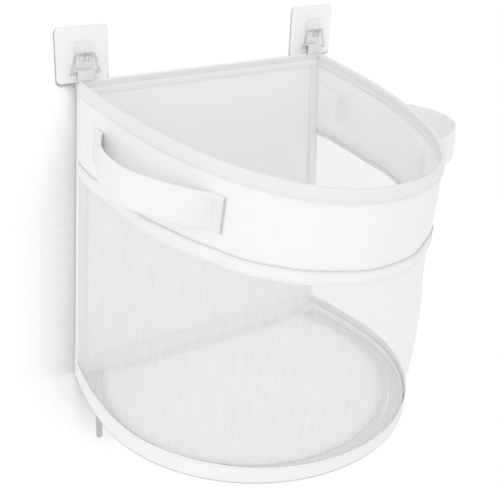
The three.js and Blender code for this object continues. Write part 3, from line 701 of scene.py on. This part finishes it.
# The rim tape carries the same painted fold shade on its inner leg.
rim_finish = paint_shade_strip(ribbed_tape("rim tape", RIM_TINT, RIB), *fold_shade)
rim_folds = [wall_strip(*fold(radius, TAPE_IN, rim_leg, rim_leg, 1)) for radius in (TAPE_OUT, TAPE_IN)]
rim = show("rim_tape", cloth_mesh(*rim_folds), rim_finish, "bag")
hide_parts("rim_binding")
finish_with(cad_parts["rim_wire"].data, steel)
rim_rows = [wall_stitches(RIM_TAPE - STITCH_IN, offset) for offset in (TAPE_OUT, -TAPE_OUT)]
rim_seams = show("rim_stitches", thread_mesh(rim_rows), thread, "bag")

# Net wall: fine white knitted net from the band down to the floor, hung a little full.
# A tape covers its seam with the band, and a wider tape is folded round its lower edge.
NET_TOP = 0.0923
NET_ROWS, NET_COLUMNS = 361, 64
NET_CELL = 0.0016
NET_TINT = ((0.88, 0.88, 0.89, 1.0), (0.94, 0.94, 0.945, 1.0))
COLUMN_STRETCH = (1.0, 0.04, 1.0)
WAIST_TAPE = 0.015
FLOOR_IN, FLOOR_OUT = 0.0007, 0.0015
FLOOR_TAPE_IN = 0.010
BEFORE_EDGE = -0.001
# The next two constants paint a shadow line along the waist tape's upper edge.
SEAM_SHADOW_WIDTH = 0.0011
SEAM_SHADOW_TINT = (0.78, 0.78, 0.78, 1.0)


def net_finish():
    """Fine knitted net: small open cells between threads, with faint columns where the knit is denser.
    The cells are the product of two slanted sines, and the knit is what they leave."""
    material, shade, shader = start_finish("white net")
    lay = shade.lay()
    along, across, _ = lay.axes()
    turn = np.pi / NET_CELL
    cell = abs(((along + across * 0.5) * turn).sine()) * abs(((along - across * 0.5) * turn).sine())
    stretched = lay.node("ShaderNodeVectorMath", {"operation": "MULTIPLY"}, {0: lay, 1: COLUMN_STRETCH})
    column = stretched.noise(420.0, 3.0)
    cloud = lay.noise(8.0)
    knit = 1 - cell
    shade.feed(shader, {
        "Base Color": column.blend(*NET_TINT),
        "Alpha": 0.21 + knit * 0.19 + column * 0.08 + cloud * 0.06,
        "Roughness": 0.7 + knit * 0.2, "Normal": knit.bump(0.00015, 0.5),
        "Sheen Weight": 0.15, "Sheen Roughness": 0.4, "Specular IOR Level": 0.3,
    })
    return material


net_drop = np.linspace(NET_TOP, BAG_HEIGHT, NET_COLUMNS)[None]
net_points = bag_wall(np.linspace(0, 1, NET_ROWS)[:, None], net_drop)
net_run = run_length(net_points[:, NET_COLUMNS // 2])[:, None]
net_lay = np.stack(np.broadcast_arrays(net_run, net_drop), -1)
net_mesh = mesh_of(net_points.reshape(-1, 3), quads_between(NET_ROWS, NET_COLUMNS, False).tolist(),
                   net_lay.reshape(-1, 2))
net = show("net_cloth", net_mesh, net_finish(), "bag")
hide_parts("net_wall")

# Painted shadow: a darker line along the waist tape's upper edge, where the band's lower edge shades it.
waist_finish = paint_shade_strip(ribbed_tape("waist tape", TAPE_TINT, RIB), ACROSS, BEFORE_EDGE, SEAM_SHADOW_WIDTH, SEAM_SHADOW_TINT)
waist_drops = np.linspace(WAIST_DROP - WAIST_TAPE, WAIST_DROP, 7)
waist_faces = [wall_strip(offset, waist_drops) for offset in (TAPE_OUT, TAPE_IN)]
waist = show("waist_tape", cloth_mesh(*waist_faces), waist_finish, "bag")
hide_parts("waist_binding")
floor_edge = BAG_HEIGHT + SEWN_GAP - FLOOR_IN
floor_folds = [wall_strip(*fold(radius, floor_edge, FLOOR_TAPE - FLOOR_IN, FLOOR_TAPE_IN - FLOOR_IN, -1))
               for radius in (FLOOR_OUT, FLOOR_IN)]
floor_tape = show("floor_tape", cloth_mesh(*floor_folds), tape, "bag")
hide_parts("floor_binding")
net_rows = [wall_stitches(drop, offset) for drop, offset in (
    (WAIST_DROP - WAIST_TAPE + STITCH_IN, TAPE_OUT), (WAIST_DROP - STITCH_IN, TAPE_OUT),
    (BAG_HEIGHT - FLOOR_TAPE + STITCH_IN, FLOOR_OUT))]
net_seams = show("net_stitches", thread_mesh(net_rows), thread, "bag")

# Side handles: flat straps of doubled white fabric, sewn to the band at both ends with two rows of stitches.
# Between the ends each strap stands off the band as a grip, and the right one bows out more.
HANDLE_WIDTH = 0.034
HANDLE_DROP = 0.032
HANDLE_BACK, HANDLE_FRONT = 0.056, 0.212
HANDLE_SEWN = 0.016
HANDLE_FULLNESS = 0.75
# Side, the wall's share at its back corner, bow, rise, the lean of the bow, and flat length.
STRAPS = (("left", 1.0, 0.030, 0.004, 1.0, 0.22), ("right", 0.0, 0.066, 0.003, 1.3, 0.266))
STRAP = 0.0018
STRAP_CUP = 0.0012
STRAP_ROWS, STRAP_COLUMNS = 141, 11
SEWN_ROWS = (2, 8, 132, 138)
STRAP_THROUGH = 0.4
BEND_START, BEND_END = 0.0025, 0.012
# The next two constants paint a shadow line across each strap's front end.
END_SHADOW_WIDTH = 0.0012
END_SHADOW_TINT = (0.62, 0.62, 0.62, 1.0)


def strap_frame(back_share):
    """The line between a strap's sewn ends on the band's face, its outward and downward directions, and the
    reach of the band's face beyond that line at any place along it and any drop."""
    shares = np.linspace(0.5, back_share, 900)

    def face(drop):
        """The band's outer face from the front to the back corner."""
        return bag_wall(shares, drop, FABRIC / 2)

    top = face(HANDLE_DROP)
    start, end = (np.array([np.interp(MOUTH_Y - depth, top[:, 1], top[:, axis]) for axis in range(3)])
                  for depth in (HANDLE_BACK, HANDLE_FRONT))
    span = np.linalg.norm(end - start)
    chord = (end - start) / span
    outward = np.array([-chord[1], chord[0], 0]) / np.hypot(chord[0], chord[1])
    outward *= np.sign(outward[0] * start[0])
    down = np.cross(outward, chord)
    down *= -np.sign(down[2])

    def reach(place, drop):
        """Distance outwards from the line to the face, with a sewing gap."""
        off = face(drop) - start
        return np.interp(place, (off @ chord)[::-1], (off @ outward)[::-1]) + SEWN_GAP

    return start, span, chord, outward, down, reach


strap_fabric = woven_fabric("doubled fabric", FABRIC_TINT, STRAP_THROUGH)
# Painted shadow: a dark line across the strap's front end, for the shade at its thick cut end.
strap_fabric = paint_shade_strip(strap_fabric, ALONG, BEFORE_EDGE, END_SHADOW_WIDTH, END_SHADOW_TINT)
for side, back_share, bow, rise, lean, length in STRAPS:
    start, span, chord, outward, down, reach = strap_frame(back_share)
    place = np.linspace(span + HANDLE_SEWN, -HANDLE_SEWN, STRAP_ROWS)
    free = np.clip(place / span, 0, 1)
    swell = np.abs(np.sin(np.pi * free ** lean)) ** HANDLE_FULLNESS
    width = np.linspace(0, 1, STRAP_COLUMNS)
    top = reach(place, HANDLE_DROP) + bow * swell
    bottom = reach(place, HANDLE_DROP + HANDLE_WIDTH) + bow * swell
    cup = STRAP_CUP * np.sin(np.pi * free)[:, None] * np.sin(np.pi * width)[None]
    out = top[:, None] + (bottom - top)[:, None] * width[None] + cup
    low = width[None] * HANDLE_WIDTH - rise * swell[:, None]
    middle = start + place[:, None, None] * chord + low[..., None] * down
    layers = [middle + (out + thick)[..., None] * outward for thick in (STRAP, 0.0)]
    strap = show(f"{side}_strap", cloth_mesh(*layers), strap_fabric, None)
    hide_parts(*(f"{side}_handle_{part}" for part in ("back_end", "grip", "front_end")))
    sewn = [stitch_row(layers[0][row, 1:-1], outward) for row in SEWN_ROWS]
    strap_seams = show(f"{side}_strap_stitches", thread_mesh(sewn), thread, None)
    slope = reach(0.0, HANDLE_DROP + HANDLE_WIDTH) - reach(0.0, HANDLE_DROP)
    away = (HANDLE_WIDTH * outward - slope * down) / np.hypot(HANDLE_WIDTH, slope)
    for cloth in (strap, strap_seams):
        start + BEND_START * away
        start + BEND_END * away
        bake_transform(cloth)

# Floor: a flap of white fabric that hangs on the back hem and is closed all round by a coil zip.
# Half of the zip's tape is sewn to the floor's edge, and the other half to the flap.
ZIP_CENTRE = MOUTH_Y - 0.092
ZIP_TOP, ZIP_UNDER = -0.3719, -0.3727
ZIP_ROWS, ZIP_COLUMNS = 181, 8
ZIP_RIB = 0.0010
FIXED_EDGE, FLAP_EDGE = 0.1707, 0.1691
FLAP_TAPE_INNER = 0.1567
EDGE_SEAM = 0.0008
PANEL_RADIUS = 0.1627
PANEL_TOP, PANEL_UNDER = -0.3704, -0.3716
PANEL_RINGS, PANEL_HEART = 40, 0.02
ARC_POINTS, BACK_POINTS = 150, 49
FLAP_BACK = -0.0104
FLOOR_SAG = 0.004
SAG_RIPPLE, SAG_RIPPLES = 0.1, 5
HINGE_STRIP = 0.014
HINGE_HALF = 0.12655
COIL_END = np.radians(112)
COIL_IN = 0.0012
TOOTH_PITCH = 0.0022
TOOTH_Z = -0.3738
TOOTH_HALF = (0.00155, 0.0006, 0.00085)
TOOTH_TAPER = 0.7
ZIP_TINT = ((0.76, 0.76, 0.76, 1.0), (0.84, 0.84, 0.84, 1.0))
COIL_TINT = (0.82, 0.82, 0.82, 1.0)


def zip_ring(radii, z):
    """An arc of tape round the zip's centre, cut off along the back."""
    end = np.arccos((ZIP_CENTRE - FLAP_BACK) / radii)
    angle = np.linspace(-1, 1, ZIP_ROWS)[:, None] * end[None]
    x, y = radii[None] * np.sin(angle), ZIP_CENTRE - radii[None] * np.cos(angle)
    return np.stack(np.broadcast_arrays(x, y, z), -1)


def zip_teeth(middle_radius, shift):
    """Coil turns round the floor's edge: each is a bar across the tape, an ellipse that tapers at its ends
    by a fourth power."""
    angle = np.arange(-COIL_END, COIL_END, TOOTH_PITCH / middle_radius) + shift * TOOTH_PITCH / middle_radius
    angle = angle[np.abs(angle) < COIL_END][:, None, None]
    share = np.linspace(-1, 1, 5)[None, :, None]
    turn = (np.arange(6) * np.pi / 3)[None, None]
    round_off = np.sqrt(1 - TOOTH_TAPER * share ** 4)
    radius = middle_radius + share * TOOTH_HALF[0]
    swing = angle + TOOTH_HALF[1] * np.cos(turn) * round_off / middle_radius
    z = TOOTH_Z + TOOTH_HALF[2] * np.sin(turn) * round_off
    x, y = radius * np.sin(swing), ZIP_CENTRE - radius * np.cos(swing)
    return small_bars(np.stack(np.broadcast_arrays(x, y, z), -1))


def coil_finish():
    """Satin nylon of the zip coils, slightly uneven."""
    material, shade, shader = start_finish("nylon coil")
    grain = shade.place().noise(1200.0, 2.0)
    shade.feed(shader, {
        "Base Color": grain.blend(darker(COIL_TINT, 0.93), COIL_TINT),
        "Roughness": 0.35 + grain * 0.2, "Normal": grain.bump(0.00005, 0.3),
    })
    return material


zip_tape = ribbed_tape("zip tape", ZIP_TINT, ZIP_RIB)
nylon = coil_finish()
free_edge = zip_ring(np.array([FIXED_EDGE]), ZIP_UNDER)
sewn_edge = bag_wall(np.linspace(1, 0, ZIP_ROWS)[:, None], BAG_HEIGHT, EDGE_SEAM)
fixed_under = free_edge + (sewn_edge - free_edge) * np.linspace(0, 1, ZIP_COLUMNS)[None, :, None]
fixed_under[..., 2] = ZIP_UNDER
fixed_top = fixed_under + (0, 0, ZIP_TOP - ZIP_UNDER)
fixed_tape = show("zip_tape_on_bag", cloth_mesh(fixed_under, fixed_top), zip_tape, "bag")
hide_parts("zip_tape_fixed")
flap_radii = np.linspace(FLAP_TAPE_INNER, FLAP_EDGE, ZIP_COLUMNS)
flap_tape_faces = [zip_ring(flap_radii, z) for z in (ZIP_UNDER, ZIP_TOP)]
flap_tape = show("zip_tape_on_flap", cloth_mesh(*flap_tape_faces), zip_tape, "floor_flap")
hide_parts("zip_tape_flap")
fixed_coil = show("zip_teeth_on_bag", zip_teeth(FIXED_EDGE + COIL_IN, 0.0), nylon, "bag")
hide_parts("zip_coil_fixed")
flap_coil = show("zip_teeth_on_flap", zip_teeth(FLAP_EDGE - COIL_IN, 0.5), nylon, "floor_flap")
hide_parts("zip_coil_flap")
for side, _ in SIDES:
    finish_with(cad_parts[f"{side}_zip_stop"].data, steel)

panel_end = np.arccos((ZIP_CENTRE - FLAP_BACK) / PANEL_RADIUS)
edge_angle = np.linspace(-panel_end, panel_end, ARC_POINTS)
arc_edge = np.stack([PANEL_RADIUS * np.sin(edge_angle), ZIP_CENTRE - PANEL_RADIUS * np.cos(edge_angle)], -1)
back_x = np.linspace(arc_edge[-1, 0], arc_edge[0, 0], BACK_POINTS + 2)[1:-1]
outline = np.concatenate([arc_edge, np.stack([back_x, np.full(BACK_POINTS, arc_edge[0, 1])], -1)])
heart = np.array([0, ZIP_CENTRE])
scale = np.linspace(PANEL_HEART, 1, PANEL_RINGS)
flat_rings = heart + scale[:, None, None] * (outline - heart)
ripple = 1 + SAG_RIPPLE * np.sin(SAG_RIPPLES * np.linspace(0, 2 * np.pi, len(outline)))
hang = FLOOR_SAG * (1 - scale[:, None] ** 2) ** 2 * ripple[None]
under = np.concatenate([flat_rings, (PANEL_UNDER - hang)[..., None]], -1)
above = np.concatenate([flat_rings, (PANEL_TOP - hang)[..., None]], -1)
flap_points = np.concatenate([under, above[::-1]])
flap_rows, flap_columns = flap_points.shape[:2]
flap_faces = quads_between(flap_rows, flap_columns, True).tolist()
flap_faces += [list(range(flap_columns - 1, -1, -1)),
               list(range((flap_rows - 1) * flap_columns, flap_rows * flap_columns))]
flap_mesh = mesh_of(flap_points.reshape(-1, 3), flap_faces, flap_points[..., :2].reshape(-1, 2))
flap = show("floor_cloth", flap_mesh, fabric, "floor_flap")
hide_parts("floor_panel")
strip_x = np.linspace(-HINGE_HALF, HINGE_HALF, 81)[:, None]
strip_y = np.linspace(FLAP_BACK - HINGE_STRIP, FLAP_BACK, 6)[None]
hinge_faces = [np.stack(np.broadcast_arrays(strip_x, strip_y, z), -1) for z in (ZIP_UNDER, ZIP_TOP)]
hinge = show("floor_hinge_tape", cloth_mesh(*hinge_faces), tape, "floor_flap")
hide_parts("floor_hinge_strip")
flap_lines = [zip_ring(np.array([FLAP_TAPE_INNER + STITCH_IN]), ZIP_UNDER)[2:-2, 0]]
for y in (FLAP_BACK - HINGE_STRIP + STITCH_IN, FLAP_BACK - STITCH_IN):
    flap_lines.append(np.array([(x, y, ZIP_UNDER) for x in (-HINGE_HALF, HINGE_HALF)]))
flap_sewn = [stitch_row(line, (0, 0, -1)) for line in flap_lines]
flap_seams = show("floor_stitches", thread_mesh(flap_sewn), thread, "floor_flap")
edge_sewn = [stitch_row(fixed_under[2:-2, 6], (0, 0, -1))]
edge_seams = show("zip_stitches", thread_mesh(edge_sewn), thread, "bag")

# Zip slider and its pull tab: die-cast zinc with a satin nickel plate, the tab hung in the slider's bridge.
# The slider clasps the zip by the left back corner, and its tab hangs straight down.
ZINC_TINT = (0.56, 0.565, 0.57, 1.0)
SLIDER_EDGE, PULL_EDGE = 0.00035, 0.0003
zinc = nickel("nickel on zinc", ZINC_TINT)
softened("zip_slider", "slider", [zinc], "zip_slider", SLIDER_EDGE, 2)
softened("zip_pull", "pull_tab", [zinc], "zip_pull", PULL_EDGE, 2)

# Backdrop: a plain white upright sheet behind the hooks and a pale floor, with soft light from the front left
# and a little from the right. The sheet glows white to the eye, and a painted shadow darkens its glow close
# to what hangs on it, falling down and to the left.
# From behind, the sheet lets the eye through, so that the back of the bag can be seen.
STAGE_HALF = 4.0
STAGE_NEAR, STAGE_BACK = -4.0, 0.0002
STAGE_LOW, STAGE_HIGH = -1.5, 3.0
BACKDROP_TINT = (1.0, 1.0, 1.0, 1.0)
BACKDROP_PAINT = (0.1, 0.1, 0.1, 1.0)
BACKDROP_GLOW = 0.93
FLOOR_TINT = (0.93, 0.93, 0.93, 1.0)
FLOOR_GLOW = 0.1
# The next four constants shape a painted shadow in the backdrop's glow: its darkest tint, the reach and range
# of the occlusion, and the lean that makes it fall down and to the left.
PAINTED_SHADOW_TINT = (0.34, 0.34, 0.34, 1.0)
PAINTED_SHADOW_REACH = 0.2
PAINTED_SHADOW_RANGE = (0.25, 0.56)
PAINTED_SHADOW_LEAN = (0.24, -0.40, 0.885)
AMBIENT = 0.88
LAMPS = (("key lamp", 5.6, (-1.45, -1.45, 0.50)), ("fill lamp", 0.8, (1.7, -0.6, 0.3)))
LAMP_AIM = (0.0, -0.12, -0.2)
LAMP_SIZE = 1.4


def seen_rays(shade):
    """1 for rays that show the background: the camera's own, and those through gloss and clear plastic."""
    ray = [shade.node("ShaderNodeLightPath", {}, {}, name)
           for name in ("Is Camera Ray", "Is Glossy Ray", "Is Transmission Ray")]
    return shade.math("MAXIMUM", shade.math("MAXIMUM", ray[0], ray[1]), ray[2])


def stage_sheet(name, first_edge, second_edge, tint, paint, glow):
    """A flat stage surface between two edges across, each given by its Y and Z. It is solid to the eye from
    its front and open to the light from all sides. Its glow carries a painted shadow: it is darker where
    ambient occlusion about a leaned normal finds something near it, so that the shadow falls down and to the
    left."""
    material, shade, shader = start_finish(name)
    # Painted shadow: ambient occlusion about a leaned normal darkens the glow's colour near what hangs in
    # front.
    lean = shade.node("ShaderNodeCombineXYZ", {}, dict(enumerate(PAINTED_SHADOW_LEAN)))
    near = shade.node("ShaderNodeAmbientOcclusion", {}, {"Distance": PAINTED_SHADOW_REACH, "Normal": lean}, "AO")
    tone = (1 - near).step(*PAINTED_SHADOW_RANGE).blend(tint, PAINTED_SHADOW_TINT)
    shade.feed(shader, {"Base Color": paint, "Roughness": 0.9, "Specular IOR Level": 0.0,
                        "Emission Color": tone, "Emission Strength": glow})
    behind = shade.node("ShaderNodeNewGeometry", {}, {}, "Backfacing")
    solid = seen_rays(shade) * (1 - behind)
    clear = shade.node("ShaderNodeBsdfTransparent")
    painted = Shade(shade.tree, shader.outputs[0])
    mixed = shade.node("ShaderNodeMixShader", {}, {0: solid, 1: clear, 2: painted})
    shade.tree.links.new(mixed.socket, shade.tree.nodes["Material Output"].inputs[0])
    corners = [(-STAGE_HALF, *first_edge), (STAGE_HALF, *first_edge),
               (STAGE_HALF, *second_edge), (-STAGE_HALF, *second_edge)]
    mesh = bpy.data.meshes.new(name)
    mesh.from_pydata(corners, [], [(0, 1, 2, 3)])
    mesh.materials.append(material)
    thing = bpy.data.objects.new(name, mesh)
    bpy.context.scene.collection.objects.link(thing)
    thing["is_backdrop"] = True


stage_sheet("backdrop", (STAGE_BACK, STAGE_LOW), (STAGE_BACK, STAGE_HIGH), BACKDROP_TINT, BACKDROP_PAINT,
            BACKDROP_GLOW)
stage_sheet("stage_floor", (STAGE_NEAR, STAGE_LOW), (STAGE_BACK, STAGE_LOW), FLOOR_TINT, FLOOR_TINT,
            FLOOR_GLOW)


def turned(columns):
    """The turn whose X, Y and Z axes are these three directions."""
    return mathutils.Matrix(np.stack(columns, -1).tolist()).to_quaternion()


def facing(direction):
    """X, Y and Z axes of a lamp or camera that looks along a direction, with its top upwards."""
    forward = direction / np.linalg.norm(direction)
    right = np.cross(forward, (0, 0, 1))
    right /= np.linalg.norm(right)
    return right, np.cross(right, forward), -forward


for name, power, place in LAMPS:
    lamp = bpy.data.lights.new(name, "AREA")
    lamp.energy = power
    lamp.size = LAMP_SIZE
    lamp_thing = bpy.data.objects.new(name, lamp)
    lamp_thing.location = place
    lamp_thing.rotation_mode = "QUATERNION"
    lamp_thing.rotation_quaternion = turned(facing(np.subtract(LAMP_AIM, place)))
    bpy.context.scene.collection.objects.link(lamp_thing)

world = bpy.data.worlds.new("white surroundings")
bpy.context.scene.world = world
world.use_nodes = True
sky = Shade(world.node_tree)
level = AMBIENT + seen_rays(sky) * (1.0 - AMBIENT)
sky.feed(world.node_tree.nodes["Background"], {"Color": (1.0, 1.0, 1.0, 1.0), "Strength": level})

# Camera: to the left of the bag and a little above it, looking down into the mouth.
# The place and the lens were fitted to the outlines of the mouth, the band and the floor.
FOCAL_PIXELS = 907.60
IMAGE_PIXELS = 500
SENSOR = 36.0
CAMERA_PLACE = np.array([-0.50583, -0.84380, 0.22447])
YAW, PITCH, ROLL = 0.60072, 0.44818, 0.04615

look = np.array([np.sin(YAW) * np.cos(PITCH), np.cos(YAW) * np.cos(PITCH), -np.sin(PITCH)])
right, up, back = facing(look)
camera = bpy.data.cameras.new("camera")
camera.sensor_width = SENSOR
camera.lens = FOCAL_PIXELS / IMAGE_PIXELS * SENSOR
camera_thing = bpy.data.objects.new("camera", camera)
camera_thing.location = CAMERA_PLACE
camera_thing.rotation_mode = "QUATERNION"
camera_thing.rotation_quaternion = turned((
    right * np.cos(ROLL) + up * np.sin(ROLL), up * np.cos(ROLL) - right * np.sin(ROLL), back))
bpy.context.scene.collection.objects.link(camera_thing)
bpy.context.scene.camera = camera_thing
bpy.context.scene.view_settings.view_transform = "Standard"

{"cad": cad_box, "visual": [list(corner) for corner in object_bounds()]}
